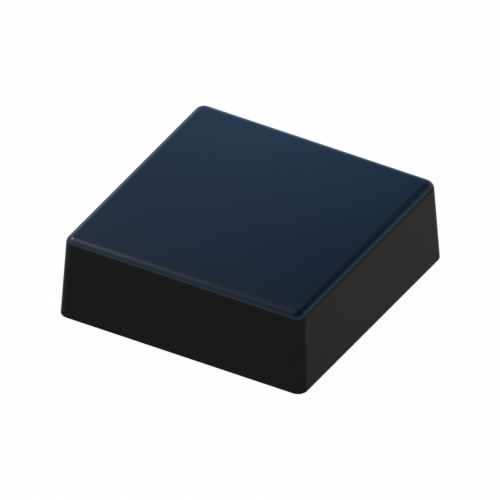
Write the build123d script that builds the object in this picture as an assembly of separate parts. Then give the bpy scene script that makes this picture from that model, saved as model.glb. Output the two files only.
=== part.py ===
from build123d import *
import os
from math import sqrt, tan, radians

# A flat, square fence post cap. A thin cast shell hides everything: screwed up inside it is a moulded
# adapter that fits round the end of the post, with four spring leaves that grip the post's faces and
# a rubber seal that lies on its end. The cap pushes on from above and needs no screw through its skirt.
#
# Frame: millimetres, +Z up, origin at the middle of the rim that the cap stands on, sides along X and Y.

# ---- The post ----
post_size = 63.5             # outside of the square post, a 2-1/2 inch fence post

# ---- Shell ----
cap_height = 25.4            # rim to top
draft = 2.75                 # lean of every side of the skirt, in degrees
shell_wall = 2.4             # skirt, measured level
top_thickness = 3.0
corner_radius = 2.9          # upright outer corners
edge_radius = 2.5            # round along the top edge
rim_radius = 0.4             # round on the rim, outside and inside
inner_corner_radius = 1.5
inner_root_radius = 1.0      # where the skirt meets the underside of the top
boss_radius = 4.0
boss_height = 2.5            # how far the adapter hangs below the underside of the top
rib_thickness = 1.6
rib_height = 1.8
ring_radius = 7.0            # stiffening ring at the middle of the underside

# ---- Adapter ----
adapter_wall = 3.0           # sleeve wall at its foot, measured level
adapter_gap = 0.2            # between the sleeve and the shell, all round
foot_height = 0.8            # the sleeve stops this far above the rim
post_clearance = 0.75        # between the sleeve and the post, each side
flange_thickness = 4.0
flange_land = 1.0            # from the flange's square hole to a screw boss
flange_hole_radius = 6.0
guide_clearance = 0.15       # between a guide rib and the post
guide_width = 1.4
guide_inset = 12.5           # from the sleeve's inner corner to each guide rib
guide_start = 2.0            # from the sleeve's foot to the bottom of a guide rib
guide_lead = 0.5             # slope at the bottom of a guide rib
lead_in = 0.8                # chamfer round the mouth of the sleeve

# ---- Seal ----
seal_width = 5.5
seal_thickness = 1.6
seal_proud = 0.8             # how far the seal stands below the flange
seal_inset = 0.25            # from the post's face to the seal's outer edge
seal_clearance = 0.1
seal_corner_radius = 2.5
seal_groove_width = 0.8      # two shallow grooves part its face into three lands
seal_groove_depth = 0.35

# ---- Spring leaves ----
spring_width = 12.0
spring_thickness = 0.4
curl_radius = 0.85           # of the curled end, to the middle of the strip
curl_angle = 260.0
leg_standoff = 1.4           # from the post's face to the middle of the leaf's straight leg
spring_reach = 1.05          # past the post's face to the free leaf's bend, before the bend is rounded
spring_clearance = 0.1       # round the curl, in its groove
leg_room_inside = 0.25       # beside the leg, in its slot
leg_room_outside = 0.5       # the leg swings this way
side_room = 0.4              # at each edge of a leaf
bow_height = 7.5             # of the gripping bow, above the rim
bow_radius = 2.2
knee_radius = 4.0
knee_drop = 1.2              # from the flange's underside to the knee below it
tip_height = 3.6
tip_standoff = 1.3           # from the post's face to the tip
tip_corner_radius = 2.0
sill_height = 2.2            # solid rail of the sleeve below each leaf's window
keeper_width = 10.0          # rib of the shell that keeps a curl down in its groove
keeper_thickness = 1.8

# ---- Screws ----
screw_land = 0.35            # from a screw's seat to the seal's groove
screw_cover = 1.3            # metal left over the end of a screw's hole
thread_radius = 1.75
thread_root_radius = 1.3
thread_pitch = 1.25
head_radius = 3.45
head_land = 0.25             # short straight edge of the countersunk head
head_clearance = 0.1
shank_clearance = 0.25       # round the shank, in the adapter
thread_clearance = 0.02      # round the thread, in the boss
hole_end_clearance = 0.2     # past the screw's point
recess_width = 3.6
recess_thickness = 0.9
recess_depth = 1.5
recess_draft = 8.0

# ---- Where things come, from the values above ----
post_half = post_size / 2
bore_half = post_half + post_clearance
rim_half = bore_half + adapter_wall + adapter_gap + shell_wall
plate_z = cap_height - top_thickness             # underside of the shell's top
flange_top = plate_z - boss_height
flange_bottom = flange_top - flange_thickness
seat_z = flange_bottom - seal_proud              # the post's end comes up to here
seal_half = post_half - seal_inset
leg_x = post_half + leg_standoff
curl_outside = curl_radius + spring_thickness / 2
curl_x = leg_x - curl_radius
curl_z = flange_top - spring_clearance - curl_outside
window_half = spring_width / 2 + side_room
sill_z = foot_height + sill_height
guide_offset = bore_half - guide_inset
screw_offset = seal_half - seal_width - seal_clearance - screw_land - head_radius - head_clearance
hole_half = screw_offset - boss_radius - flange_land
screw_hole_top = cap_height - screw_cover
screw_length = screw_hole_top - hole_end_clearance - flange_bottom


def cavity_half(z):
    """Half the width of the space inside the shell, at a height."""
    return rim_half - shell_wall - z * tan(radians(draft))


def on_four_sides(shape):
    """Copies of a shape made for the +X side, turned to all four sides."""
    return [Rot(0, 0, quarter * 90) * shape for quarter in range(4)]


def at_four_screws(z):
    """The four screw places, at a height."""
    return [Pos(x, y, z) for x in (-screw_offset, screw_offset) for y in (-screw_offset, screw_offset)]


def drafted_block(half, base_z, height, radius):
    """A square block that narrows upwards by the draft, with round upright corners."""
    block = extrude(Pos(0, 0, base_z) * Rectangle(2 * half, 2 * half), amount=height, taper=draft)
    uprights = [edge for edge in block.edges() if edge.bounding_box().size.Z > height / 2]
    return fillet(uprights, radius)


def square_ring(outer_half, inner_half, radius, z, height):
    """A flat square ring with round corners, from z upwards."""
    inner_radius = max(radius - (outer_half - inner_half), radius / 2)
    ring = RectangleRounded(2 * outer_half, 2 * outer_half, radius)
    ring -= RectangleRounded(2 * inner_half, 2 * inner_half, inner_radius)
    return extrude(Pos(0, 0, z) * ring, amount=height)


def side_box(x_low, x_high, half_width, z_low, z_high):
    """A box on the +X side, between two distances from the middle."""
    middle = Pos((x_low + x_high) / 2, 0, z_low)
    standing = (Align.CENTER, Align.CENTER, Align.MIN)
    return middle * Box(x_high - x_low, 2 * half_width, z_high - z_low, align=standing)


def lying_cylinder(x, z, radius, half_width):
    """A cylinder along Y, centred on the +X side."""
    return Pos(x, 0, z) * Rot(90, 0, 0) * Cylinder(radius, 2 * half_width)


def make_shell():
    """The cast shell: top, skirt, four screw bosses, crossed ribs, a ring and four keeper ribs."""
    outside = drafted_block(rim_half, 0, cap_height, corner_radius)
    outside = fillet(outside.faces().sort_by(Axis.Z)[-1].edges(), edge_radius)
    outside = fillet(outside.faces().sort_by(Axis.Z)[0].edges(), rim_radius)
    inside = drafted_block(cavity_half(0), 0, plate_z, inner_corner_radius)
    inside = fillet(inside.faces().sort_by(Axis.Z)[-1].edges(), inner_root_radius)
    shell = outside - inside

    hanging = (Align.CENTER, Align.CENTER, Align.MAX)
    into_plate = top_thickness / 3               # ribs and bosses start inside the top, to join it
    rib_length = 2 * sqrt(2) * (cavity_half(plate_z) + shell_wall / 3) - inner_corner_radius
    rib = Box(rib_length, rib_thickness, rib_height + into_plate, align=hanging)
    features = [Pos(0, 0, plate_z + into_plate) * Rot(0, 0, turn) * rib for turn in (45, 135)]
    ring = Circle(ring_radius) - Circle(ring_radius - rib_thickness)
    features.append(extrude(Pos(0, 0, plate_z - rib_height) * ring, amount=rib_height + into_plate))
    boss = Cylinder(boss_radius, boss_height + into_plate, align=hanging)
    features += [place * boss for place in at_four_screws(plate_z + into_plate)]
    keeper = side_box(curl_x - keeper_thickness / 2, curl_x + keeper_thickness / 2, keeper_width / 2,
                      flange_top, plate_z + into_plate)
    features += on_four_sides(keeper)
    for feature in features:
        shell += feature

    for place in at_four_screws(flange_top):
        shell -= place * Cylinder(thread_radius + thread_clearance, screw_hole_top - flange_top,
                                  align=(Align.CENTER, Align.CENTER, Align.MIN))
    limit = cavity_half(0) + rim_radius / 2
    mouth = [edge for edge in shell.edges().group_by(Axis.Z)[0]
             if max(abs(edge.center().X), abs(edge.center().Y)) < limit]
    return fillet(mouth, rim_radius)


def spring_seat():
    """What is cut from the adapter for one leaf: a groove for its curl, a slot for its leg, a window."""
    groove_radius = curl_outside + spring_clearance
    strip_half = spring_thickness / 2
    seat = lying_cylinder(curl_x, curl_z, groove_radius, window_half)
    seat += side_box(curl_x - groove_radius, curl_x + groove_radius, window_half, curl_z, flange_top)
    seat += side_box(leg_x - strip_half - leg_room_inside, leg_x + strip_half + leg_room_outside,
                     window_half, flange_bottom, curl_z)
    return seat + side_box(post_half, rim_half, window_half, sill_z, flange_bottom)


def guide_rib():
    """One upright rib inside the sleeve that centres the post, sloped at its foot."""
    face = post_half + guide_clearance
    low = foot_height + guide_start
    outline = Polyline((bore_half + guide_lead, low), (bore_half, low), (face, low + 2 * guide_lead),
                       (face, flange_bottom), (bore_half + guide_lead, flange_bottom), close=True)
    return extrude(Plane.XZ * make_face(outline), amount=guide_width / 2, both=True)


def make_adapter():
    """The moulded sleeve and flange that fit the cap to the post."""
    block = drafted_block(cavity_half(foot_height) - adapter_gap, foot_height, flange_top - foot_height,
                          inner_corner_radius)
    bore = Pos(0, 0, foot_height) * Box(2 * bore_half, 2 * bore_half, flange_bottom - foot_height,
                                        align=(Align.CENTER, Align.CENTER, Align.MIN))
    adapter = block - bore
    mouth_half = bore_half + lead_in
    mouth = loft([Pos(0, 0, foot_height) * Rectangle(2 * mouth_half, 2 * mouth_half),
                  Pos(0, 0, foot_height + lead_in) * Rectangle(2 * bore_half, 2 * bore_half)])
    adapter -= mouth
    hole = RectangleRounded(2 * hole_half, 2 * hole_half, flange_hole_radius)
    adapter -= extrude(Pos(0, 0, flange_bottom) * hole, amount=flange_thickness)
    adapter -= square_ring(seal_half + seal_clearance, seal_half - seal_width - seal_clearance,
                           seal_corner_radius, flange_bottom, seal_thickness - seal_proud)
    for seat in on_four_sides(spring_seat()):
        adapter -= seat
    for side in range(4):
        for offset_y in (-guide_offset, guide_offset):
            adapter += Rot(0, 0, side * 90) * Pos(0, offset_y, 0) * guide_rib()
    for place in at_four_screws(flange_bottom):
        adapter -= place * Cylinder(thread_radius + shank_clearance, flange_thickness,
                                    align=(Align.CENTER, Align.CENTER, Align.MIN))
        adapter -= place * screw_head(head_clearance)
    return adapter


def screw_head(extra=0.0):
    """A countersunk head from z = 0 upwards; extra is the room left round it for its seat."""
    cone_height = head_radius - thread_radius
    cone_top = head_land + cone_height
    outline = Polyline((0, 0), (head_radius + extra, 0), (head_radius + extra, head_land),
                       (thread_radius + extra, cone_top), (0, cone_top), close=True)
    return revolve(Plane.XZ * make_face(outline), Axis.Z)


def make_screw():
    """A countersunk thread-forming screw, head down; plain rings stand in for its thread."""
    thread_start = head_land + head_radius - thread_radius
    point_length = thread_pitch
    turns = int((screw_length - thread_start - point_length) / thread_pitch)
    outline = [(0, thread_start / 2), (thread_root_radius, thread_start / 2)]
    for turn in range(turns):
        root = thread_start + turn * thread_pitch
        outline += [(thread_root_radius, root + thread_pitch / 5),
                    (thread_radius, root + thread_pitch / 2),
                    (thread_radius, root + thread_pitch * 3 / 5)]
    outline += [(thread_root_radius, thread_start + turns * thread_pitch),
                (thread_root_radius, screw_length - point_length),
                (thread_root_radius / 2, screw_length), (0, screw_length)]
    screw = screw_head() + revolve(Plane.XZ * make_face(Polyline(outline, close=True)), Axis.Z)
    for turn in (0, 90):
        wing = Rot(0, 0, turn) * Rectangle(recess_width, recess_thickness)
        screw -= extrude(wing, amount=recess_depth, taper=recess_draft)
    return screw


def make_seal():
    """The rubber ring that lies on the post's end, with two shallow grooves in its lower face."""
    seal = square_ring(seal_half, seal_half - seal_width, seal_corner_radius, seat_z, seal_thickness)
    land = (seal_width - 2 * seal_groove_width) / 3
    for groove in (1, 2):
        outer = seal_half - groove * land - (groove - 1) * seal_groove_width
        seal -= square_ring(outer, outer - seal_groove_width, seal_corner_radius, seat_z, seal_groove_depth)
    return seal


def make_spring():
    """The +X side's spring leaf: a curl that lies in the adapter, a leg, an inward bow and a tip."""
    knee = (leg_x, flange_bottom - knee_drop)
    bow = (post_half - spring_reach + spring_thickness / 2, bow_height)
    tip = (post_half + tip_standoff, tip_height)
    curl = CenterArc((curl_x, curl_z), curl_radius, curl_angle, -curl_angle)
    leaf = FilletPolyline((leg_x, curl_z), knee, bow, tip, radius=[knee_radius, bow_radius])
    strip = Plane.XZ * trace([curl, leaf], spring_thickness)
    spring = extrude(strip, amount=spring_width / 2, both=True)
    height = curl_z + curl_outside - tip_height
    outline = Rectangle(spring_width, height + 2 * tip_corner_radius)
    outline = fillet(outline.vertices().group_by(Axis.Y)[0], tip_corner_radius)
    middle_z = tip_height - spring_thickness / 2 + height / 2 + tip_corner_radius
    cutter = extrude(Pos(0, 0, middle_z) * (Plane.YZ * outline), amount=rim_half)
    return spring & cutter


def write(node, shape):
    """Writes one sub-part as parts/NODE.step."""
    export_step(shape, os.path.join("parts", node + ".step"))


def main():
    os.makedirs("parts", exist_ok=True)
    write("cap_shell", make_shell())
    write("post_adapter", make_adapter())
    write("post_seal", make_seal())
    screw = make_screw()
    write("adapter_screws", Compound(children=[place * screw for place in at_four_screws(flange_bottom)]))
    for side, spring in zip(("right", "back", "left", "front"), on_four_sides(make_spring())):
        write("grip_spring_" + side, spring)


main()
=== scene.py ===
"""A flat square fence post cap: black die-cast shell, hidden nylon adapter, rubber seal, sprung grip leaves.

Sizes are in metres. The frame's +Z is up, its origin is the middle of the rim that the cap stands on, and
the front is -Y. Every piece is worked out as a surface and put in the mesh where the frame says.
"""

from math import atan2, cos, pi, radians, sin, tan

import bmesh
import bpy
import numpy as np
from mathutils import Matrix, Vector


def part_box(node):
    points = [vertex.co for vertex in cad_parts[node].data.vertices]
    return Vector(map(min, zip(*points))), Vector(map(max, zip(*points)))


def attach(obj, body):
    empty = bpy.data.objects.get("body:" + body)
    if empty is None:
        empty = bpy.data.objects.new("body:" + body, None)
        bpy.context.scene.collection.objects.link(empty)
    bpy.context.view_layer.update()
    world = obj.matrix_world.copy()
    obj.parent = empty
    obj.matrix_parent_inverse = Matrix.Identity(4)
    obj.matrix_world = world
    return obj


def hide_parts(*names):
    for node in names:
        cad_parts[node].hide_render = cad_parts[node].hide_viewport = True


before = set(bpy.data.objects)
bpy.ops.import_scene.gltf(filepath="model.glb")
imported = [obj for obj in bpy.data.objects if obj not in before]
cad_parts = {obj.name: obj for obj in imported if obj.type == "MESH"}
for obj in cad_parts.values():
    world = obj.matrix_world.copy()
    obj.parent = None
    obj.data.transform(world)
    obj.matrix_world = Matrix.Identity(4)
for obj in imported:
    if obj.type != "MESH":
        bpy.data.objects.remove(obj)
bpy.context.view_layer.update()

bl_info = {
    "name": "Square Fence Post Cap",
    "version": (1, 0, 0),
    "blender": (4, 5, 0),
    "location": "View3D > Sidebar > Post Cap",
    "description": "Builds a flat square post cap with its hidden adapter, seal, screws and grip leaves",
    "category": "Add Mesh",
}

MM = 0.001
RIGHT, BACKWARD, UP = np.eye(3)
NOISE_SPREAD = (0.3, 0.7)    # Where nearly all values of a noise texture lie.
PAST = 1.0 * MM    # How far a cutter goes past the face that it cuts.
THREAD_ROOM = 0.02 * MM    # Between the screws' thread and the holes in the bosses.
SEAT_ROOM = 0.1 * MM    # Round the screw heads and the curled ends in the adapter.
WHITE = (1, 1, 1, 1)
TANGENT = 0.98     # Share of a run's length that a round may take, so that no point doubles.
SIDES = ("right", "back", "left", "front")
RECESS_TURNS = (8, 37, 61, 22)    # Degrees that each screw stopped at when it was driven.

# Light for matt surfaces: straight from below and from all round, and the Z where one turns into the other.
BELOW_LIGHT, EVEN_LIGHT = 7.0, 0.04
BELOW_EDGE = (-0.97, -0.92)
FLOOR_GLOW = 0.96

# Degrees above the horizon, with the light's colour there.
SKY = [
    (-90, (0.2, 0.2, 0.195)), (-56, (0.17, 0.172, 0.165)),
    (-48, (0.155, 0.16, 0.151)), (-40, (0.158, 0.166, 0.156)), (-34, (0.169, 0.182, 0.172)),
    (-28, (0.175, 0.188, 0.177)), (-20, (0.205, 0.216, 0.206)), (-10, (0.215, 0.225, 0.215)),
    (-0.5, (0.23, 0.24, 0.235)), (0, (0.57, 0.74, 0.81)), (5, (0.52, 0.745, 0.94)),
    (10, (0.438, 0.727, 1.032)), (18, (0.295, 0.571, 0.956)), (25, (0.144, 0.347, 0.681)),
    (32, (0.105, 0.265, 0.565)), (40, (0.05, 0.16, 0.388)), (50, (0.02, 0.085, 0.23)),
    (62, (0.04, 0.1, 0.22)), (90, (0.08, 0.16, 0.32))]

# Where the middle of each soft lamp is, and its colour at degrees from that.
LAMPS = [
    ((-0.684, -0.198, 0.702), [
        (0, (0.33, 0.47, 0.7)), (14, (0.33, 0.47, 0.7)), (20, (0.29, 0.39, 0.6)), (30, (0.265, 0.345, 0.51)),
        (37, (0.26, 0.315, 0.43)), (46, (0.165, 0.178, 0.2)), (58, (0.083, 0.08, 0.07)), (72, (0, 0, 0))]),
    ((-0.66, -0.305, 0.687), [
        (0, (1.5, 1.39, 1.04)), (9, (1.28, 1.18, 0.88)), (12, (0.95, 0.88, 0.64)), (14.5, (0.8, 0.72, 0.51)),
        (18, (0.54, 0.48, 0.3)), (22, (0.34, 0.29, 0.15)), (27, (0.12, 0.1, 0.03)), (33, (0.03, 0.02, 0)),
        (40, (0, 0, 0))]),
    ((0.46, 0.78, -0.43), [
        (0, (0.055, 0.055, 0.053)), (8, (0.048, 0.048, 0.046)), (17, (0.02, 0.02, 0.019)), (26, (0, 0, 0))]),
    ((-0.424, 0.848, 0.318), [
        (0, (0.179, 0.404, 0.842)), (8, (0.135, 0.278, 0.568)), (14, (0.088, 0.142, 0.274)),
        (19, (0.032, 0.067, 0.167)), (24, (0.015, 0.002, 0)), (30, (0.081, 0.095, 0.128)),
        (37, (0.092, 0.108, 0.146)), (46, (0.091, 0.102, 0.125)), (58, (0.04, 0.021, 0)), (72, (0, 0, 0))]),
    ((-0.757, -0.176, 0.660), [
        (0, (7, 6.8, 6.2)), (4, (5.5, 5.4, 4.9)), (7, (1.5, 1.5, 1.35)), (10, (0, 0, 0))])]


# ---- Sizes and colours ----

def length(name, description, millimetres):
    """A length that the user can change, in metres."""
    return bpy.props.FloatProperty(name=name, description=description, default=millimetres * MM,
                                   min=0.0, precision=5, unit="LENGTH", subtype="DISTANCE")


def angle(name, description, degrees):
    """An angle that the user can change."""
    return bpy.props.FloatProperty(name=name, description=description, default=radians(degrees),
                                   unit="ROTATION", subtype="ANGLE")


def colour(name, description, value):
    """A linear colour that the user can change."""
    return bpy.props.FloatVectorProperty(name=name, description=description, default=value, size=3,
                                         min=0.0, max=1.0, subtype="COLOR")


def share(name, description, value):
    """A number from 0 to 1 that the user can change."""
    return bpy.props.FloatProperty(name=name, description=description, default=value, min=0.0, max=1.0,
                                   subtype="FACTOR")


class ShellSizes(bpy.types.PropertyGroup):
    """The cast shell."""
    draft: angle("Draft", "Lean of every side of the skirt", 2.75)
    wall: length("Wall", "Thickness of the skirt, measured level", 2.4)
    top_thickness: length("Top", "Thickness of the top", 3.0)
    corner_radius: length("Corner radius", "Round of the upright outer corners", 2.9)
    edge_radius: length("Edge radius", "Round along the top edge", 2.5)
    rim_radius: length("Rim radius", "Round on both edges of the rim", 0.4)
    inner_corner_radius: length("Inner corner radius", "Upright corners of the inside", 1.5)
    root_radius: length("Root radius", "Round where the skirt meets the underside of the top", 1.0)
    boss_radius: length("Boss radius", "Screw bosses under the top", 4.0)
    boss_height: length("Boss height", "From the underside of the top down to the adapter", 2.5)
    rib_thickness: length("Rib thickness", "Ribs and ring under the top", 1.6)
    rib_height: length("Rib height", "How far ribs and ring stand down", 1.8)
    ring_radius: length("Ring radius", "Outside of the stiffening ring", 7.0)
    keeper_width: length("Keeper width", "Rib that keeps each leaf's curl down", 10.0)
    keeper_thickness: length("Keeper thickness", "The same rib's thickness", 1.8)
    cast_round: length("Cast round", "Round at the root of bosses and ribs", 0.6)


class AdapterSizes(bpy.types.PropertyGroup):
    """The moulded sleeve and flange."""
    wall: length("Wall", "Sleeve wall at its foot", 3.0)
    flange_thickness: length("Flange", "Thickness of the flange", 4.0)
    hole_half: length("Hole", "Half the width of the flange's hole", 17.0)
    hole_radius: length("Hole radius", "Corners of the flange's hole", 6.0)
    lead_in: length("Lead-in", "Chamfer round the mouth", 0.8)
    guide_proud: length("Guide", "How far a guide rib stands off the sleeve", 0.6)
    guide_width: length("Guide width", "Width of a guide rib", 1.4)
    guide_inset: length("Guide inset", "From the sleeve's inner corner to a guide rib", 12.5)
    guide_start: length("Guide start", "From the sleeve's foot to the bottom of a guide rib", 2.0)
    sill_height: length("Sill", "Solid rail of the sleeve below each window", 2.2)
    side_room: length("Side room", "Beside each edge of a leaf", 0.4)
    edge_round: length("Edge round", "Small round on moulded edges", 0.3)
    ejector_radius: length("Ejector mark", "Radius of the shallow ejector marks", 1.6)


class SealSizes(bpy.types.PropertyGroup):
    """The rubber ring."""
    width: length("Width", "Width of the ring", 5.5)
    corner_radius: length("Corner radius", "Outer corners of the ring", 2.5)
    groove_width: length("Groove width", "Each shallow groove", 0.8)
    groove_depth: length("Groove depth", "Each shallow groove", 0.35)
    clearance: length("Clearance", "Between the ring and its groove in the flange", 0.1)


class ScrewSizes(bpy.types.PropertyGroup):
    """The four countersunk screws."""
    head_radius: length("Head radius", "Countersunk head", 3.45)
    head_land: length("Head land", "Short straight edge of the head", 0.25)
    thread_radius: length("Thread radius", "Crest of the thread", 1.75)
    root_radius: length("Root radius", "Root of the thread", 1.3)
    pitch: length("Pitch", "From crest to crest", 1.25)
    recess_reach: length("Recess reach", "From the middle to the end of a wing of the cross recess", 1.8)
    recess_thickness: length("Recess thickness", "Width of each wing", 0.9)
    recess_depth: length("Recess depth", "Depth of the cross recess", 1.5)


class LeafSizes(bpy.types.PropertyGroup):
    """The four spring leaves."""
    thickness: length("Thickness", "Strip thickness", 0.4)
    curl_radius: length("Curl radius", "Curled end, to the middle of the strip", 0.85)
    curl_angle: angle("Curl angle", "How far the end is curled round", 260.0)
    knee_drop: length("Knee drop", "From the flange's underside to the knee", 1.2)
    knee_radius: length("Knee radius", "Bend at the knee", 4.0)
    bow_height: length("Bow height", "Height of the gripping bow above the rim", 7.5)
    bow_radius: length("Bow radius", "Bend at the bow", 2.2)
    bow_inset: length("Bow inset", "From the leg to the unrounded corner of the bow", 2.25)
    tip_height: length("Tip height", "Height of the tip above the rim", 3.6)
    tip_inset: length("Tip inset", "From the leg to the tip", 0.1)
    tip_radius: length("Tip radius", "Corners of the tip", 2.0)
    edge_round: length("Edge round", "Tumbled edges of the strip", 0.12)


class Finishes(bpy.types.PropertyGroup):
    """Colours and gloss."""
    coat: colour("Powder coat", "Black coat of the shell", (0.02, 0.0205, 0.021))
    coat_roughness: share("Coat roughness", "Gloss of the coat", 0.12)
    nylon: colour("Nylon", "Moulded adapter", (0.034, 0.0345, 0.035))
    rubber: colour("Rubber", "Seal", (0.018, 0.018, 0.0185))
    strip: colour("Spring strip", "Stainless leaves", (0.56, 0.55, 0.52))
    zinc: colour("Zinc plate", "Screws", (0.62, 0.63, 0.62))


class StageSettings(bpy.types.PropertyGroup):
    """Floor, camera and light."""
    azimuth: angle("Azimuth", "Camera's turn round the object, from the front", 30.04)
    elevation: angle("Elevation", "Camera's height above the horizon", 35.3)
    view_width: length("View width", "Width that the parallel view takes in", 134.4)
    aim_height: length("Aim height", "Height of the point at the middle of the view", 11.63)
    aim_side: length("Aim side", "How far left of the object's middle the view is centred", 0.07)
    dome_radius: length("Dome radius", "Light dome that glossy surfaces mirror", 215.0)
    dome_height: length("Dome height", "Height of the dome's middle above the rim", 24.0)
    floor_half: length("Floor", "Half the width of the floor", 3000.0)


PROPERTY_GROUPS = {
    "cap_shell_sizes": ShellSizes,
    "cap_adapter_sizes": AdapterSizes,
    "cap_seal_sizes": SealSizes,
    "cap_screw_sizes": ScrewSizes,
    "cap_leaf_sizes": LeafSizes,
    "cap_finishes": Finishes,
    "cap_stage": StageSettings,
}


# ---- Surfaces ----

def bend_profile(corners, rounds, steps, closed=False):
    """A line through corners whose bends are arcs. Each corner is a row of two coordinates, and any more
    columns are carried along. An arc of radius r starts r * tan(turn / 2) before its corner, and its points
    are centre + r * (cos, sin), so both runs stay tangent to it. steps is the number of chords in an arc."""
    corners = np.asarray(corners, float)
    count = len(corners)
    pieces = []
    for i in range(count):
        here, radius = corners[i], rounds[i]
        if radius <= 0 or (not closed and i in (0, count - 1)):
            pieces.append(here[None])
            continue
        to_last = corners[i - 1] - here
        to_next = corners[(i + 1) % count] - here
        reach_last, reach_next = np.linalg.norm(to_last[:2]), np.linalg.norm(to_next[:2])
        a, b = to_last / reach_last, to_next / reach_next
        half = np.arccos(np.clip(a[:2] @ b[:2], -1, 1)) / 2
        tangent = radius / np.tan(half)
        start, end = here + a * tangent, here + b * tangent
        middle = (a[:2] + b[:2]) / np.linalg.norm(a[:2] + b[:2])
        centre = here[:2] + middle * radius / np.sin(half)
        first = atan2(*(start[:2] - centre)[::-1])
        turn = (atan2(*(end[:2] - centre)[::-1]) - first + pi) % (2 * pi) - pi
        share_along = np.linspace(0, 1, steps + 1)
        turned = first + turn * share_along
        arc = start + (end - start) * share_along[:, None]
        arc[:, :2] = centre + radius * np.stack([np.cos(turned), np.sin(turned)], 1)
        pieces.append(arc)
    return np.concatenate(pieces)


def refine(line, longest):
    """The same line with points added so that no run is longer than longest."""
    runs = np.linalg.norm(np.diff(line[:, :2], axis=0), axis=1)
    along = np.concatenate([[0], np.cumsum(runs)])
    counts = np.maximum(1, np.ceil(runs / longest)).astype(int)
    places = [np.linspace(along[i], along[i + 1], n, endpoint=False) for i, n in enumerate(counts)]
    places = np.append(np.concatenate(places), along[-1])
    return np.stack([np.interp(places, along, column) for column in line.T], 1)


def square_path(side_steps, corner_steps):
    """A rounded square's data for any size. Each column has a corner centre in units of (half - radius) and
    an outward direction, so its point is (half - radius) * centre + radius * outward. Round a corner the
    centre rests and the direction turns; along a side the direction rests and the centre slides."""
    slide = np.linspace(1, -1, side_steps + 1)[1:-1]
    turn = np.linspace(0, pi / 2, corner_steps + 1)
    centre = np.concatenate([np.ones((corner_steps + 1, 2)), np.stack([slide, np.ones_like(slide)], 1)])
    heading = np.concatenate([turn, np.full(side_steps - 1, pi / 2)])
    outward = np.stack([np.cos(heading), np.sin(heading)], 1)
    quarters = [np.array([[cos(q), sin(q)], [-sin(q), cos(q)]]) for q in np.arange(4) * pi / 2]
    return (np.concatenate([centre @ m for m in quarters]),
            np.concatenate([outward @ m for m in quarters]))


def carry_round(half, radius, z, path):
    """Surface of a profile carried round a rounded square: row t, column s is
    (half[t] - radius[t]) * centre[s] + radius[t] * outward[s], at height z[t]."""
    centre, outward = path
    radius = np.minimum(radius, half)
    flat = ((half - radius)[:, None, None] * centre[None] + radius[:, None, None] * outward[None])
    height = np.broadcast_to(z[:, None, None], flat.shape[:2] + (1,))
    return np.concatenate([flat, height], 2)


def spin(line, steps, centre=(0, 0)):
    """Surface of revolution about an upright axis: row t, column s is centre + r[t] * (cos s, sin s), at
    height z[t]."""
    around = np.linspace(0, 2 * pi, steps, endpoint=False)
    r, z = line[:, 0][:, None], line[:, 1][:, None]
    return np.stack([centre[0] + r * np.cos(around), centre[1] + r * np.sin(around),
                     np.broadcast_to(z, (len(line), steps))], 2)


def draw_along(origins, across, normal, sections):
    """A closed section carried along a line: row t, column s is origin[t] + a * across[t] + b * normal[t]
    for the section's point (a, b). Both ends close on a point in their own plane."""
    body = (origins[:, None] + sections[..., :1] * across[:, None] + sections[..., 1:] * normal[:, None])
    first, last = body[:1].mean(1, keepdims=True), body[-1:].mean(1, keepdims=True)
    columns = body.shape[1]
    return np.concatenate([np.repeat(first, columns, 1), body, np.repeat(last, columns, 1)])


def box_section(width, height, radius, steps=3):
    """Closed outline of a rectangle with round corners, centred."""
    a, b = width / 2, height / 2
    return bend_profile([(a, -b), (a, b), (-a, b), (-a, -b)], [radius] * 4, steps, closed=True)


def draw_straight(origins, across, normal, section):
    """One closed section carried along a straight line through the origins."""
    origins = np.asarray(origins)
    count = len(origins)
    return draw_along(origins, np.tile(across, (count, 1)), np.tile(normal, (count, 1)),
                      np.tile(section, (count, 1, 1)))


def block(x, y, z, radius, axis):
    """A box between limits x, y and z, with round edges along one axis."""
    limits = {"x": x, "y": y, "z": z}
    others = [name for name in "xyz" if name != axis]
    (a0, a1), (b0, b1) = limits[others[0]], limits[others[1]]
    section = box_section(a1 - a0, b1 - b0, radius)
    unit = dict(zip("xyz", np.eye(3)))
    middle = unit[others[0]] * (a0 + a1) / 2 + unit[others[1]] * (b0 + b1) / 2
    origins = [middle + unit[axis] * end for end in limits[axis]]
    return draw_straight(origins, unit[others[0]], unit[others[1]], section)


def turn_about_z(points, quarter):
    """The same points turned by quarter turns about the upright axis."""
    c, s = round(cos(quarter * pi / 2)), round(sin(quarter * pi / 2))
    return points @ np.array([[c, s, 0], [-s, c, 0], [0, 0, 1]], float)


def add_object(name, data):
    """A new object in the scene."""
    thing = bpy.data.objects.new(name, data)
    bpy.context.scene.collection.objects.link(thing)
    return thing


def build(name, surfaces, closed_rows=False):
    """A mesh object from one or more grids of points. Columns always close round; rows close when
    closed_rows says so, and otherwise end in poles. Doubles are merged and faces turned outwards."""
    vertices, faces, base = [], [], 0
    for points in surfaces:
        rows, columns = points.shape[:2]
        index = np.arange(rows * columns).reshape(rows, columns) + base
        right = np.roll(index, -1, 1)
        if closed_rows:
            low, high = index, np.roll(index, -1, 0)
            low_right, high_right = right, np.roll(right, -1, 0)
        else:
            low, high, low_right, high_right = index[:-1], index[1:], right[:-1], right[1:]
        faces.append(np.stack([low, low_right, high_right, high], 2).reshape(-1, 4))
        vertices.append(points.reshape(-1, 3))
        base += rows * columns
    mesh = bpy.data.meshes.new(name)
    mesh.from_pydata(np.concatenate(vertices).tolist(), [], np.concatenate(faces).tolist())
    tidy = bmesh.new()
    tidy.from_mesh(mesh)
    bmesh.ops.remove_doubles(tidy, verts=tidy.verts, dist=1e-7)
    bmesh.ops.dissolve_degenerate(tidy, edges=tidy.edges, dist=1e-8)
    bmesh.ops.recalc_face_normals(tidy, faces=tidy.faces)
    tidy.to_mesh(mesh)
    tidy.free()
    return add_object(name, mesh)


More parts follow.
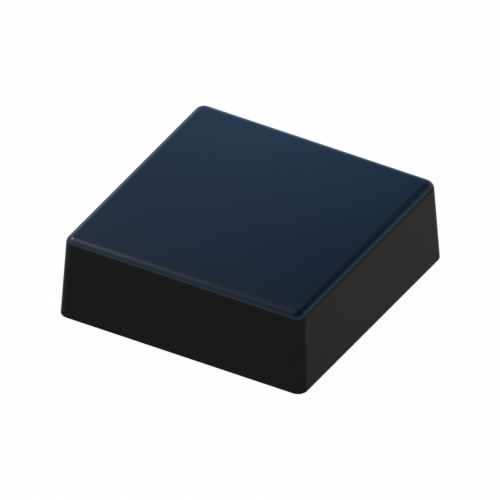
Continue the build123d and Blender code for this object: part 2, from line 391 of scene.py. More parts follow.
def combine(piece, tools, operation):
    """Unites the tools with the piece or cuts them from it, one after another, and removes them."""
    for tool in tools:
        change = piece.modifiers.new("combine", "BOOLEAN")
        change.operation = operation
        change.solver = "MANIFOLD"
        change.object = tool
        settle(piece)
        bpy.data.objects.remove(tool)


def settle(piece):
    """Replaces the piece's mesh with what its modifiers make of it."""
    bpy.context.view_layer.update()
    shaped = piece.evaluated_get(bpy.context.evaluated_depsgraph_get())
    mesh = bpy.data.meshes.new_from_object(shaped)
    piece.modifiers.clear()
    piece.data = mesh


def smooth(piece, sharp_degrees=30):
    """Smooth shading that keeps flat faces flat and edges sharper than an angle crisp."""
    piece.data.shade_smooth()
    piece.data.set_sharp_from_angle(angle=radians(sharp_degrees))
    weights = piece.modifiers.new("face weights", "WEIGHTED_NORMAL")
    weights.mode = "FACE_AREA"
    weights.weight = 50
    weights.keep_sharp = True
    settle(piece)


def check_closed(piece):
    """Stops the script if the piece is empty or its surface has a hole."""
    looked = bmesh.new()
    looked.from_mesh(piece.data)
    faces, loose = len(looked.faces), sum(not edge.is_manifold for edge in looked.edges)
    looked.free()
    if faces == 0 or loose:
        raise RuntimeError(f"{piece.name}: {faces} faces, {loose} edges without two faces")


def dress(piece, material, slot, body, *nodes):
    """Gives the piece its finish and its place in the frame."""
    check_closed(piece)
    piece.data.materials.clear()
    piece.data.materials.append(material)
    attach(piece, body)
    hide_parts(*nodes)


# ---- Materials ----

def start_material(name):
    """A new node material, with its tree, its shader and its object coordinates."""
    material = bpy.data.materials.new(name)
    material.use_nodes = True
    tree = material.node_tree
    shader = next(node for node in tree.nodes if node.type == "BSDF_PRINCIPLED")
    return material, tree, shader, add_node(tree, "TexCoord", output="Object")


def add_node(tree, kind, inputs=(), output=0, **settings):
    """Adds a shader node and returns an output of it. Each input takes a value or another node's output."""
    node = tree.nodes.new("ShaderNode" + kind)
    for name, value in settings.items():
        setattr(node, name, value)
    for key, value in dict(inputs).items():
        if isinstance(value, bpy.types.NodeSocket):
            tree.links.new(value, node.inputs[key])
        else:
            node.inputs[key].default_value = value
    return node.outputs[output] if node.outputs else None


def noise(tree, place, scale, detail=2.0, roughness=0.5):
    """A noise texture's value."""
    inputs = {"Vector": place, "Scale": scale, "Detail": detail, "Roughness": roughness}
    return add_node(tree, "TexNoise", inputs, "Fac")


def stretch(tree, place, scale):
    """Coordinates multiplied by a scale on each axis."""
    return add_node(tree, "Mapping", {"Vector": place, "Scale": scale}, "Vector")


def spread(tree, value, low, high, start=NOISE_SPREAD[0], end=NOISE_SPREAD[1]):
    """A value mapped from one range to another."""
    inputs = {"Value": value, "From Min": start, "From Max": end, "To Min": low, "To Max": high}
    return add_node(tree, "MapRange", inputs, "Result")


def paint(tree, shader, mottle, tint, shades, gloss, roughness):
    """Base colour from one value, between two shades of a tint, and roughness from another value."""
    dark, light = [(*scaled(tint, factor), 1) for factor in shades]
    inputs = {"Factor": mottle, "A": dark, "B": light}
    tree.links.new(add_node(tree, "Mix", inputs, "Result", data_type="RGBA"), shader.inputs["Base Color"])
    tree.links.new(spread(tree, gloss, *roughness), shader.inputs["Roughness"])


def raise_surface(tree, shader, heights):
    """Bump from several height values, each with its depth in metres, one on top of another."""
    below = {}
    for value, depth in heights:
        bump = add_node(tree, "Bump", {"Height": value, "Distance": depth, **below}, "Normal")
        below = {"Normal": bump}
    tree.links.new(bump, shader.inputs["Normal"])


def glow_material(name):
    """A new material with an empty tree, which isn't sampled as a lamp."""
    material = bpy.data.materials.new(name)
    material.use_nodes = True
    material.node_tree.nodes.clear()
    material.cycles.emission_sampling = "NONE"
    return material, material.node_tree


def scaled(value, factor):
    """A colour made lighter or darker."""
    return tuple(channel * factor for channel in value)


def coat_material(finishes):
    """Black powder coat: deep black, even gloss, fine orange peel and a finer grain."""
    material, tree, shader, place = start_material("black_powder_coat")
    cloud = noise(tree, place, 45, 3)
    grain = noise(tree, place, 2600, 3, 0.6)
    peel = noise(tree, place, 620, 2)
    rough = finishes.coat_roughness
    paint(tree, shader, cloud, finishes.coat, (0.85, 1.15), cloud, (rough * 0.92, rough * 1.1))
    shader.inputs["IOR"].default_value = 1.5
    raise_surface(tree, shader, [(peel, 0.0035 * MM), (grain, 0.0012 * MM)])
    return material


def nylon_material(finishes):
    """Glass-filled nylon: dull black with a faint fibre mottle and a fine moulded texture."""
    material, tree, shader, place = start_material("black_glass_filled_nylon")
    fibre = noise(tree, stretch(tree, place, (1, 1, 0.25)), 900, 4, 0.65)
    cloud = noise(tree, place, 90, 3)
    paint(tree, shader, fibre, finishes.nylon, (0.7, 1.7), cloud, (0.42, 0.58))
    raise_surface(tree, shader, [(fibre, 0.012 * MM), (noise(tree, place, 4200, 2), 0.004 * MM)])
    return material


def rubber_material(finishes):
    """EPDM rubber: matt, slightly bloomed, with a soft moulded skin."""
    material, tree, shader, place = start_material("epdm_rubber")
    bloom = noise(tree, place, 160, 4, 0.6)
    paint(tree, shader, bloom, finishes.rubber, (0.8, 2.2), bloom, (0.62, 0.78))
    raise_surface(tree, shader, [(noise(tree, place, 1500, 3), 0.01 * MM)])
    return material


def strip_material(finishes):
    """Stainless spring strip: rolled streaks along its length, from the leaf's own map."""
    material, tree, shader, _ = start_material("stainless_spring_strip")
    own = add_node(tree, "UVMap", output="UV", uv_map="strip")
    streak = noise(tree, stretch(tree, own, (9000, 260, 1)), 1, 3, 0.6)
    cloud = noise(tree, stretch(tree, own, (220, 160, 1)), 1, 2)
    paint(tree, shader, cloud, finishes.strip, (0.86, 1.1), streak, (0.2, 0.38))
    shader.inputs["Metallic"].default_value = 0.85
    raise_surface(tree, shader, [(streak, 0.002 * MM)])
    return material


def zinc_material(finishes):
    """Bright zinc plate: mottled metal, a little duller where the plate is thin."""
    material, tree, shader, place = start_material("zinc_plate")
    cloud = noise(tree, place, 700, 4, 0.6)
    paint(tree, shader, cloud, finishes.zinc, (0.92, 1.04), cloud, (0.3, 0.36))
    shader.inputs["Metallic"].default_value = 0.7
    raise_surface(tree, shader, [(noise(tree, place, 5200, 2), 0.0006 * MM)])
    return material


# ---- Shell ----

def shell_levels():
    """The rim's height and the top's height, as the frame has them."""
    low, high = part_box("cap_shell")
    return low.z, high.z


def rim_half(sizes):
    """Half width of the skirt at the rim, before its edge is rounded."""
    low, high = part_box("cap_shell")
    lean = tan(sizes.draft)
    lost = sizes.rim_radius * (1 - cos(sizes.draft) + (1 - sin(sizes.draft)) * lean)
    return (high.x - low.x) / 2 + lost


def cavity_half(sizes, z):
    """Half width of the inside of the skirt, at a height."""
    return rim_half(sizes) - sizes.wall - z * tan(sizes.draft)


def shell_body(sizes):
    """The shell as one profile carried round a rounded square, from the middle of the top, over the edge,
    down the skirt, round the rim, up the inside and along the underside of the top to its middle."""
    base, top = shell_levels()
    outer, lean = rim_half(sizes), tan(sizes.draft)
    outer_top = outer - (top - base) * lean
    plate = top - sizes.top_thickness
    over = bend_profile([(0, top), (outer_top, top), (outer, base), (outer - sizes.wall / 2, base)],
                        [0, sizes.edge_radius, sizes.rim_radius, 0], 20)
    under = bend_profile([(outer - sizes.wall / 2, base), (outer - sizes.wall, base),
                          (cavity_half(sizes, plate), plate), (0, plate)],
                         [0, sizes.rim_radius, sizes.root_radius, 0], 12)
    over, under = refine(over, 3.0 * MM), refine(under, 3.0 * MM)
    skirt = outer - (over[:, 1] - base) * lean
    over_radius = np.clip(sizes.corner_radius - (skirt - over[:, 0]), 0, None)
    wall_line = outer - sizes.wall - (under[:, 1] - base) * lean
    under_radius = np.clip(sizes.inner_corner_radius - (wall_line - under[:, 0]), 0, None)
    profile = np.concatenate([over, under[1:]])
    radius = np.concatenate([over_radius, under_radius[1:]])
    return carry_round(profile[:, 0], radius, profile[:, 1], square_path(26, 14))


def rib_section(thickness, height, round_edge, root, depth):
    """Outline of a rib that stands down from a plate at height 0: round lower edges, a flared root, and
    depth more above the plate so that it joins."""
    half = thickness / 2
    corners = [(half + root, depth), (-half - root, depth), (-half - root, 0), (-half, 0), (-half, -height),
               (half, -height), (half, 0), (half + root, 0)]
    rounds = [0, 0, 0, root * TANGENT, round_edge, round_edge, root * TANGENT, 0]
    return bend_profile(corners, rounds, 5, closed=True)


def straight_rib(section, start, end, z):
    """A rib section carried level from start to end."""
    start, end = np.array([*start, z]), np.array([*end, z])
    along = (end - start) / np.linalg.norm(end - start)
    across = np.array([-along[1], along[0], 0])
    return draw_straight([start, end], across, UP, section)


def screw_places():
    """Middles of the four screws, from the frame's box of all four."""
    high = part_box("adapter_screws")[1]
    offset = high.x - bpy.context.scene.cap_screw_sizes.head_radius
    return [(x * offset, y * offset) for x in (-1, 1) for y in (-1, 1)]


def shell_features(sizes):
    """Bosses, crossed ribs, ring and keeper ribs, as separate closed solids rooted in the plate."""
    _, top = shell_levels()
    plate = top - sizes.top_thickness
    depth, root = sizes.top_thickness / 3, sizes.cast_round
    section = rib_section(sizes.rib_thickness, sizes.rib_height, 0.35 * MM, root, depth)
    reach = cavity_half(sizes, plate) - sizes.inner_corner_radius * 0.3
    solids = [straight_rib(section, (-reach, -far), (reach, far), plate) for far in (-reach, reach)]
    ring_line = section + np.array([sizes.ring_radius - sizes.rib_thickness / 2, plate])
    ring = spin(ring_line, 72)
    radius, foot = sizes.boss_radius, plate - sizes.boss_height
    boss_line = bend_profile(
        [(0, plate + depth), (radius + root, plate + depth), (radius + root, plate), (radius, plate),
         (radius, foot), (0, foot)], [0, 0, 0, root * TANGENT, 0.3 * MM, 0], 6)
    solids += [spin(boss_line, 48, place) for place in screw_places()]
    keeper = rib_section(sizes.keeper_thickness, sizes.boss_height, 0.3 * MM, root * 0.7, depth)
    leaf = bpy.context.scene.cap_leaf_sizes
    high_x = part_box("grip_spring_right")[1].x
    middle = high_x - leaf.thickness / 2 - leaf.curl_radius
    half = sizes.keeper_width / 2
    solid = straight_rib(keeper, (middle, -half), (middle, half), plate)
    solids += [turn_about_z(solid, quarter) for quarter in range(4)]
    return solids, ring


def pilot_holes(sizes):
    """The screws' blind holes in the bosses, with a drill's pointed end."""
    screws = bpy.context.scene.cap_screw_sizes
    _, top = shell_levels()
    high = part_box("adapter_screws")[1].z
    low = top - sizes.top_thickness - sizes.boss_height
    radius = screws.thread_radius + THREAD_ROOM
    line = np.array([(0, low - PAST), (radius, low - PAST), (radius, high - 0.4 * MM), (0, high + 0.2 * MM)])
    return [spin(line, 40, place) for place in screw_places()]


# ---- Adapter ----

def adapter_levels():
    """Foot and top of the adapter, its outer half width at its foot, and the flange's underside."""
    low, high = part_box("post_adapter")
    sizes = bpy.context.scene.cap_adapter_sizes
    return low.z, high.z, high.x, high.z - sizes.flange_thickness


def adapter_body(sizes):
    """Sleeve and flange as one closed profile carried round a rounded square. Each corner is half width,
    height and the plan radius there, so the square hole, the seal's groove and the bore differ."""
    foot, top, outer, flange = adapter_levels()
    lean = tan(bpy.context.scene.cap_shell_sizes.draft)
    seal_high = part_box("post_seal")[1]
    seal = bpy.context.scene.cap_seal_sizes
    plan = bpy.context.scene.cap_shell_sizes.inner_corner_radius
    bore = outer - sizes.wall
    groove_out, groove_in = seal_high.x + seal.clearance, seal_high.x - seal.width - seal.clearance
    small, tiny, sharp = sizes.edge_round, 0.12 * MM, 0.3 * MM
    corners = [
        (outer, foot, plan), (outer - (top - foot) * lean, top, plan),
        (sizes.hole_half, top, sizes.hole_radius), (sizes.hole_half, flange, sizes.hole_radius),
        (groove_in, flange, seal.corner_radius / 2), (groove_in, seal_high.z, seal.corner_radius / 2),
        (groove_out, seal_high.z, seal.corner_radius), (groove_out, flange, seal.corner_radius),
        (bore, flange, sharp), (bore, foot + sizes.lead_in, sharp), (bore + sizes.lead_in, foot, sharp)]
    rounds = [small, small, small, small, tiny, tiny, tiny, tiny, small, tiny, tiny]
    line = bend_profile(corners, rounds, 4, closed=True)
    line = refine(np.concatenate([line, line[:1]]), 4.0 * MM)[:-1]
    return carry_round(line[:, 0], line[:, 2], line[:, 1], square_path(20, 8))


def leaf_seats(sizes):
    """What is cut from the adapter for the leaves: on each side a groove for the curl, a slot for the leg
    and a window in the sleeve. The groove is a lying cylinder, open at the flange's top."""
    foot, top, outer, flange = adapter_levels()
    leaf = bpy.context.scene.cap_leaf_sizes
    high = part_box("grip_spring_right")[1]
    half = high.y + sizes.side_room
    curl = leaf.curl_radius + leaf.thickness / 2
    x, z = high.x - leaf.thickness / 2 - leaf.curl_radius, high.z - curl
    radius = curl + SEAT_ROOM
    inside, outside = 0.25 * MM, 0.5 * MM    # Room on the leg's two faces.
    leg_low, leg_high = high.x - leaf.thickness - inside, high.x + outside
    around = np.linspace(0, 2 * pi, 40, endpoint=False)
    circle = np.stack([np.cos(around), np.sin(around)], 1) * radius
    ends = np.array([[x, -half, z], [x, half, z]])
    cylinder = draw_straight(ends, RIGHT, UP, circle)
    across = (-half, half)
    cuts = [cylinder,
            block((x - radius, x + radius), across, (z, top + PAST), 0.0, "y"),
            block((leg_low, leg_high), across, (flange - 0.2 * MM, z), 0.0, "y"),
            block((outer - sizes.wall - 1.5 * PAST, outer + PAST), across,
                  (foot + sizes.sill_height, flange), 0.7 * MM, "x")]
    return [turn_about_z(cut, quarter) for cut in cuts for quarter in range(4)]


def screw_seats():
    """Countersunk seats and clearance holes for the screws."""
    screws = bpy.context.scene.cap_screw_sizes
    _, top, _, flange = adapter_levels()
    cone = screws.head_radius - screws.thread_radius
    head, shank = screws.head_radius + SEAT_ROOM, screws.thread_radius + 0.25 * MM
    cut_short = 0.15 * MM    # The cone ends early where the wider hole meets it.
    line = np.array([(0, flange - PAST), (head, flange - PAST), (head, flange + screws.head_land),
                     (shank, flange + screws.head_land + cone - cut_short), (shank, top + PAST),
                     (0, top + PAST)])
    return [spin(line, 56, place) for place in screw_places()]


def guide_ribs(sizes):
    """Upright ribs in the sleeve. A half-round section is carried up, and it leans out of the wall over
    the first stretch: proud(z) rises from 0 to its full size and stays there."""
    foot, _, outer, flange = adapter_levels()
    bore = outer - sizes.wall
    low = foot + sizes.guide_start
    ramp, sunk, half = 1.0 * MM, 0.5 * MM, sizes.guide_width / 2
    heights = np.array([low, low + ramp, flange + sunk])
    proud = np.array([0.02 * MM, sizes.guide_proud, sizes.guide_proud])
    sections = []
    for stand in proud:
        soft = min(0.35 * MM, stand * 0.8)
        sections.append(bend_profile([(sunk, -half), (sunk, half), (-stand, half), (-stand, -half)],
                                     [0, 0, soft, soft], 4, closed=True))
    solids = []
    for side in (-1, 1):
        offset = side * (bore - sizes.guide_inset)
        origins = np.stack([np.full(3, bore), np.full(3, offset), heights], 1)
        rib = draw_along(origins, np.tile(RIGHT, (3, 1)), np.tile(BACKWARD, (3, 1)), np.array(sections))
        solids += [turn_about_z(rib, quarter) for quarter in range(4)]
    return solids


def ejector_marks(sizes):
    """Shallow round marks on the flange's underside, one on each side of the hole."""
    _, _, _, flange = adapter_levels()
    radius, depth = sizes.ejector_radius, 0.15 * MM
    line = np.array([(0, flange - PAST), (radius, flange - PAST), (radius, flange + depth),
                     (0, flange + depth)])
    seal_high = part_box("post_seal")[1]
    inner = seal_high.x - bpy.context.scene.cap_seal_sizes.width
    reach = (sizes.hole_half + inner) / 2
    return [spin(line, 40, place) for place in ((reach, 0), (0, reach), (-reach, 0), (0, -reach))]


# ---- Seal, screws and leaves ----

def seal_surface(sizes):
    """The ring's closed profile carried round a rounded square: a band whose lower face has two shallow
    grooves between three lands."""
    low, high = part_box("post_seal")
    outer, inner = high.x, high.x - sizes.width
    land = (sizes.width - 2 * sizes.groove_width) / 3
    first = outer - land
    second = first - sizes.groove_width - land
    depth = low.z + sizes.groove_depth
    second_in, first_in = second - sizes.groove_width, first - sizes.groove_width
    halves = [outer, inner, inner, second_in, second_in, second, second, first_in, first_in, first, first,
              outer]
    heights = [high.z, high.z, low.z, low.z, depth, depth, low.z, low.z, depth, depth, low.z, low.z]
    line = bend_profile(np.stack([halves, heights], 1), [0.15 * MM] * 12, 3, closed=True)
    plan = np.interp(line[:, 0], [inner, outer], [sizes.corner_radius / 2, sizes.corner_radius])
    return carry_round(line[:, 0], plan, line[:, 1], square_path(16, 12))


def screw_surface(sizes, place):
    """A screw, head down, as one surface of height and turn. The radius is the head's cone, then the root
    plus a ridge where height / pitch - turn passes a whole number, faded at both ends, then the point."""
    low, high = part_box("adapter_screws")
    size = high.z - low.z
    cone_top = sizes.head_land + sizes.head_radius - sizes.thread_radius
    neck = sizes.thread_radius * 0.98
    head = bend_profile([(0, 0), (sizes.head_radius, 0), (sizes.head_radius, sizes.head_land),
                         (neck, cone_top)], [0, 0.08 * MM, 0.06 * MM, 0], 3)
    head = refine(head, 0.6 * MM)
    heights = np.linspace(cone_top, size, 150)
    core = np.interp(heights, [cone_top, cone_top + 0.25 * MM, size - sizes.pitch, size],
                     [neck, sizes.root_radius, sizes.root_radius, sizes.root_radius / 2])
    steps = 40
    turns = np.arange(steps) / steps
    phase = (heights[:, None] / sizes.pitch - turns[None] + 0.5) % 1.0 - 0.5
    flank, flat = 0.2, 1.25    # The flank's share of the pitch; above 1 the ridge is cut to a flat crest.
    ridge = np.clip(flat - np.abs(phase) / flank, 0, 1)
    plain, run_in, run_out = 0.2 * MM, 0.5 * MM, 0.8 * MM
    fade = np.clip((heights - cone_top - plain) / run_in, 0, 1)
    fade *= np.clip((size - heights) / run_out, 0, 1)
    shank = core[:, None] + (sizes.thread_radius - sizes.root_radius) * ridge * fade[:, None]
    radii = np.concatenate([np.repeat(head[:, :1], steps, 1), shank[1:], np.zeros((1, steps))])
    levels = np.concatenate([head[:, 1], heights[1:], [size]]) + low.z
    around = turns * 2 * pi
    return np.stack([place[0] + radii * np.cos(around), place[1] + radii * np.sin(around),
                     np.broadcast_to(levels[:, None], radii.shape)], 2)


def recess_surface(sizes, place, turn):
    """A cross recess's cutter: a cross outline carried up into the head, narrowing to a blunt point."""
    low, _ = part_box("adapter_screws")
    reach, half, depth = sizes.recess_reach, sizes.recess_thickness / 2, sizes.recess_depth
    rows = []
    for level, wing, wide in ((-0.4 * MM, 1.02, 1.02), (0.0, 1.0, 1.0), (depth * 0.75, 0.72, 0.78),
                              (depth, 0.3, 0.5)):
        a, b = reach * wing, half * wide
        cross = [(a, -b), (a, b), (b, b), (b, a), (-b, a), (-b, b), (-a, b), (-a, -b), (-b, -b), (-b, -a),
                 (b, -a), (b, -b)]
        fillet = min(0.12 * MM, b * 0.4, (a - b) * 0.3)
        rows.append((level, bend_profile(cross, [fillet] * 12, 3, closed=True)))
    c, s = cos(turn), sin(turn)
    origins = np.array([[place[0], place[1], low.z + level] for level, _ in rows])
    count = len(rows)
    return draw_along(origins, np.tile([c, s, 0], (count, 1)), np.tile([-s, c, 0], (count, 1)),
                      np.array([row for _, row in rows]))


def leaf_line(sizes):
    """The right-hand leaf's middle line in X and Z: the curl, the leg, the knee, the bow and the tip."""
    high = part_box("grip_spring_right")[1]
    _, _, _, flange = adapter_levels()
    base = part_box("cap_shell")[0].z
    leg = high.x - sizes.thickness / 2
    centre = np.array([leg - sizes.curl_radius, high.z - sizes.curl_radius - sizes.thickness / 2])
    turned = np.linspace(sizes.curl_angle, 0, 44)
    curl = centre + sizes.curl_radius * np.stack([np.cos(turned), np.sin(turned)], 1)
    run = bend_profile([(leg, centre[1]), (leg, flange - sizes.knee_drop),
                        (leg - sizes.bow_inset, base + sizes.bow_height),
                        (leg - sizes.tip_inset, base + sizes.tip_height)],
                       [0, sizes.knee_radius, sizes.bow_radius, 0], 14)
    run = refine(run, 0.35 * MM)
    end = run[-1] - run[-2]
    ends = run[-2] + end * np.linspace(0, 1, 5)[1:, None]
    return np.concatenate([curl, run[1:-1], ends])


def leaf_surface(sizes, quarter):
    """A leaf: a flat section with tumbled edges carried along its middle line. Its half width is constant,
    and over the last stretch it follows the tip's corner arcs, w - r + sqrt(r^2 - (r - d)^2)."""
    line = leaf_line(sizes)
    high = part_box("grip_spring_right")[1]
    runs = np.linalg.norm(np.diff(line, axis=0), axis=1)
    along = np.concatenate([[0], np.cumsum(runs)])
    tangent = np.gradient(line, along, axis=0)
    tangent /= np.linalg.norm(tangent, axis=1, keepdims=True)
    origins = np.stack([line[:, 0], np.zeros(len(line)), line[:, 1]], 1)
    across = np.tile(BACKWARD, (len(line), 1))
    normal = np.stack([-tangent[:, 1], np.zeros(len(line)), tangent[:, 0]], 1)
    left = np.minimum(along[-1] - along, sizes.tip_radius)
    tip = sizes.tip_radius - np.sqrt(sizes.tip_radius**2 - (sizes.tip_radius - left)**2)
    start = np.clip(0.4 * MM - along, 0, None)
    half = high.y - tip - start
    section = box_section(2.0, sizes.thickness, sizes.edge_round, 4)
    near_edge = np.sign(section[:, 0]) * (1 - np.abs(section[:, 0]))
    sections = np.stack([np.sign(section[:, 0])[None] * half[:, None] - near_edge[None],
                         np.broadcast_to(section[:, 1], (len(line), len(section)))], 2)
    return turn_about_z(draw_along(origins, across, normal, sections), quarter)


def map_strip(piece, quarter):
    """A map for the leaf: across the strip, and how far down it a point is."""
    layer = piece.data.uv_layers.new(name="strip")
    co = np.zeros(len(piece.data.vertices) * 3)
    piece.data.vertices.foreach_get("co", co)
    co = turn_about_z(co.reshape(-1, 3), -quarter)
    loops = np.zeros(len(piece.data.loops), int)
    piece.data.loops.foreach_get("vertex_index", loops)
    layer.data.foreach_set("uv", co[loops][:, 1:].ravel())


# ---- Operators ----

class FENCE_CAP_OT_shell(bpy.types.Operator):
    """Build the cast shell with its bosses and ribs"""
    bl_idname = "fence_cap.shell"
    bl_label = "Cast Shell"

    def execute(self, context):
        sizes = context.scene.cap_shell_sizes
        shell = build("die_cast_shell", [shell_body(sizes)])
        solids, ring = shell_features(sizes)
        tools = [build("feature", [solid]) for solid in solids]
        tools.append(build("ring", [ring], closed_rows=True))
        combine(shell, tools, "UNION")
        combine(shell, [build("hole", [hole]) for hole in pilot_holes(sizes)], "DIFFERENCE")
        smooth(shell)
        dress(shell, coat_material(context.scene.cap_finishes), "black_coat", "cap", "cap_shell")
        return {"FINISHED"}


class FENCE_CAP_OT_adapter(bpy.types.Operator):
    """Build the moulded adapter that fits the cap to the post"""
    bl_idname = "fence_cap.adapter"
    bl_label = "Post Adapter"

    def execute(self, context):
        sizes = context.scene.cap_adapter_sizes
        adapter = build("moulded_adapter", [adapter_body(sizes)], closed_rows=True)
        combine(adapter, [build("rib", [rib]) for rib in guide_ribs(sizes)], "UNION")
        cuts = leaf_seats(sizes) + screw_seats() + ejector_marks(sizes)
        combine(adapter, [build("cut", [cut]) for cut in cuts], "DIFFERENCE")
        smooth(adapter)
        dress(adapter, nylon_material(context.scene.cap_finishes), "black_nylon", "cap", "post_adapter")
        return {"FINISHED"}


class FENCE_CAP_OT_seal(bpy.types.Operator):
    """Build the rubber ring that lies on the post's end"""
    bl_idname = "fence_cap.seal"
    bl_label = "Post Seal"

    def execute(self, context):
        seal = build("rubber_seal", [seal_surface(context.scene.cap_seal_sizes)], closed_rows=True)
        smooth(seal, 50)
        dress(seal, rubber_material(context.scene.cap_finishes), "black_rubber", "cap", "post_seal")
        return {"FINISHED"}


class FENCE_CAP_OT_screws(bpy.types.Operator):
    """Build the four countersunk screws"""
    bl_idname = "fence_cap.screws"
    bl_label = "Adapter Screws"

    def execute(self, context):
        sizes = context.scene.cap_screw_sizes
        places = screw_places()
        screws = build("countersunk_screws", [screw_surface(sizes, place) for place in places])
        turns = [radians(degrees) for degrees in RECESS_TURNS]
        cuts = [build("recess", [recess_surface(sizes, place, turn)]) for place, turn in zip(places, turns)]
        combine(screws, cuts, "DIFFERENCE")
        smooth(screws, 35)
        dress(screws, zinc_material(context.scene.cap_finishes), "screw_steel", "cap", "adapter_screws")
        return {"FINISHED"}


class FENCE_CAP_OT_leaves(bpy.types.Operator):
    """Build the four spring leaves that grip the post"""
    bl_idname = "fence_cap.leaves"
    bl_label = "Grip Leaves"

    def execute(self, context):
        sizes = context.scene.cap_leaf_sizes
        steel = strip_material(context.scene.cap_finishes)
        for quarter, side in enumerate(SIDES):
            leaf = build("spring_leaf_" + side, [leaf_surface(sizes, quarter)])
            map_strip(leaf, quarter)
            smooth(leaf, 50)
            dress(leaf, steel, "spring_steel", side + "_spring", "grip_spring_" + side)
        return {"FINISHED"}


class FENCE_CAP_OT_stage(bpy.types.Operator):
    """Set up the floor, the light and the camera"""
    bl_idname = "fence_cap.stage"
    bl_label = "Stage"

    def execute(self, context):
        settings = context.scene.cap_stage
        add_floor(settings)
        add_world(context.scene)
        add_dome(settings)
        add_camera(context.scene, settings)
        context.scene.view_settings.view_transform = "Standard"
        return {"FINISHED"}


# ---- Stage ----

def add_floor(settings):
    """A pale floor under the rim, seen by the camera from above only, with a faint soft shadow."""
    size, low = settings.floor_half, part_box("cap_shell")[0].z - 0.05 * MM
    mesh = bpy.data.meshes.new("floor")
    mesh.from_pydata([(-size, -size, low), (size, -size, low), (size, size, low), (-size, size, low)], [],
                     [(0, 1, 2, 3)])
    floor = add_object("floor", mesh)
    material, tree = glow_material("pale_floor")
    glow = add_node(tree, "Emission", {"Color": WHITE, "Strength": FLOOR_GLOW})
    matt = add_node(tree, "BsdfDiffuse", {"Color": (0.8, 0.8, 0.8, 1)})
    both, clear = add_node(tree, "AddShader", {0: glow, 1: matt}), add_node(tree, "BsdfTransparent")
    from_below = add_node(tree, "NewGeometry", output="Backfacing")
    sided = add_node(tree, "MixShader", {0: from_below, 1: both, 2: clear})
    add_node(tree, "OutputMaterial", {"Surface": sided})
    mesh.materials.append(material)
    floor.visible_glossy = False
    floor.visible_diffuse = False


def add_world(scene):
    """White behind everything, and a dim even light for matt surfaces, stronger from below."""
    world = bpy.data.worlds.new("studio")
    scene.world = world
    world.use_nodes = True
    tree = world.node_tree
    tree.nodes.clear()
    place = add_node(tree, "TexCoord", output="Object")
    height = add_node(tree, "SeparateXYZ", {0: place}, "Z")
    level = spread(tree, height, BELOW_LIGHT, EVEN_LIGHT, *BELOW_EDGE)
    dim = add_node(tree, "Background", {"Color": WHITE, "Strength": level})
    white = add_node(tree, "Background", {"Color": WHITE, "Strength": 1.0})
    seen = add_node(tree, "LightPath", output="Is Camera Ray")
    add_node(tree, "OutputWorld", {"Surface": add_node(tree, "MixShader", {0: seen, 1: dim, 2: white})})
    world.cycles.sampling_method = "NONE"


def add_dome(settings):
    """A light dome that only glossy surfaces see: blue above a sharp horizon and grey below it, with five
    soft lamps: three high on the left, a bluer one at the back left and a faint one low at the back right."""
    mesh = bpy.data.meshes.new("light_dome")
    ball = bmesh.new()
    bmesh.ops.create_uvsphere(ball, u_segments=128, v_segments=64, radius=settings.dome_radius)
    middle = Vector((0, 0, settings.dome_height))
    bmesh.ops.translate(ball, verts=ball.verts, vec=middle)
    ball.to_mesh(mesh)
    ball.free()
    mesh.shade_smooth()
    dome = add_object("light_dome", mesh)
    material, tree = glow_material("light_dome")
    place = add_node(tree, "TexCoord", output="Object")
    lower = add_node(tree, "VectorMath", {0: place, 1: middle}, "Vector", operation="SUBTRACT")
    direction = add_node(tree, "VectorMath", {0: lower}, "Vector", operation="NORMALIZE")
    glow = glow_by(tree, add_node(tree, "SeparateXYZ", {0: direction}, "Z"), SKY)
    for towards, stops in LAMPS:
        inputs = {0: direction, 1: Vector(towards).normalized()}
        nearness = add_node(tree, "VectorMath", inputs, "Value", operation="DOT_PRODUCT")
        from_middle = [(90 - off, tint) for off, tint in reversed(stops)]
        glow = add_node(tree, "AddShader", {0: glow, 1: glow_by(tree, nearness, from_middle)})
    add_node(tree, "OutputMaterial", {"Surface": glow})
    mesh.materials.append(material)
    for ray in ("camera", "diffuse", "transmission", "volume_scatter", "shadow"):
        setattr(dome, "visible_" + ray, False)


def glow_by(tree, sine, stops):
    """A glow whose colour goes through stops. Each has an angle in degrees, whose sine the value is."""
    share_up = add_node(tree, "MapRange", {"Value": sine, "From Min": -1}, "Result")
    ramp = tree.nodes.new("ShaderNodeValToRGB")
    brightest = max(max(tint) for _, tint in stops)
    spots = ramp.color_ramp.elements
    spots.remove(spots[1])
    for number, (degrees, tint) in enumerate(stops):
        position = (sin(radians(degrees)) + 1) / 2
        spot = spots.new(position) if number else spots[0]
        spot.position = position
        spot.color = (*scaled(tint, 1 / brightest), 1)
    tree.links.new(share_up, ramp.inputs["Fac"])
    return add_node(tree, "Emission", {"Color": ramp.outputs["Color"], "Strength": brightest})


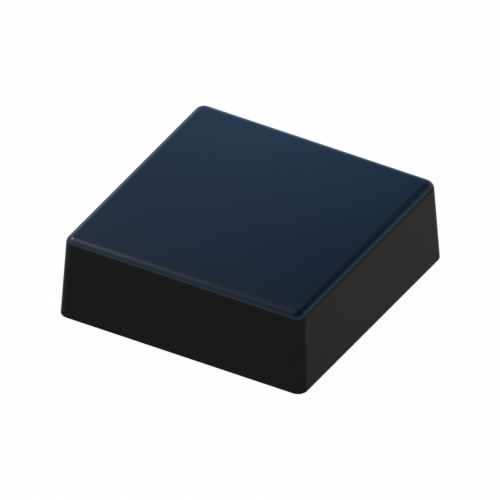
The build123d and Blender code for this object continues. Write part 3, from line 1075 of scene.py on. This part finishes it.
def add_camera(scene, settings):
    """A parallel view from the front right and above."""
    lens = bpy.data.cameras.new("camera")
    lens.type = "ORTHO"
    lens.ortho_scale = settings.view_width
    lens.clip_start, lens.clip_end = 0.01, 20.0
    camera = add_object("camera", lens)
    a, e = settings.azimuth, settings.elevation
    back = Vector((sin(a) * cos(e), -cos(a) * cos(e), sin(e)))
    camera.rotation_mode = "QUATERNION"
    camera.rotation_quaternion = (-back).to_track_quat("-Z", "Y")
    aside = Vector((cos(a), sin(a), 0)) * settings.aim_side
    camera.location = Vector((0, 0, settings.aim_height)) - aside + back
    scene.camera = camera


# ---- Panel and registration ----

OPERATORS = (FENCE_CAP_OT_shell, FENCE_CAP_OT_adapter, FENCE_CAP_OT_seal, FENCE_CAP_OT_screws,
             FENCE_CAP_OT_leaves, FENCE_CAP_OT_stage)


class FENCE_CAP_PT_panel(bpy.types.Panel):
    """Sizes, colours and the steps that build the cap"""
    bl_idname = "FENCE_CAP_PT_panel"
    bl_label = "Square Post Cap"
    bl_space_type = "VIEW_3D"
    bl_region_type = "UI"
    bl_category = "Post Cap"

    def draw(self, context):
        for operator in OPERATORS:
            self.layout.operator(operator.bl_idname)
        for name, group in PROPERTY_GROUPS.items():
            box = self.layout.box()
            box.label(text=group.__doc__)
            for key in group.__annotations__:
                box.prop(getattr(context.scene, name), key)


CLASSES = (*PROPERTY_GROUPS.values(), *OPERATORS, FENCE_CAP_PT_panel)


def register():
    for kind in CLASSES:
        bpy.utils.register_class(kind)
    for name, group in PROPERTY_GROUPS.items():
        setattr(bpy.types.Scene, name, bpy.props.PointerProperty(type=group))


def unregister():
    for name in PROPERTY_GROUPS:
        delattr(bpy.types.Scene, name)
    for kind in reversed(CLASSES):
        bpy.utils.unregister_class(kind)


def main():
    register()
    bpy.ops.fence_cap.shell()
    bpy.ops.fence_cap.adapter()
    bpy.ops.fence_cap.seal()
    bpy.ops.fence_cap.screws()
    bpy.ops.fence_cap.leaves()
    bpy.ops.fence_cap.stage()


if __name__ == "__main__":
    main()
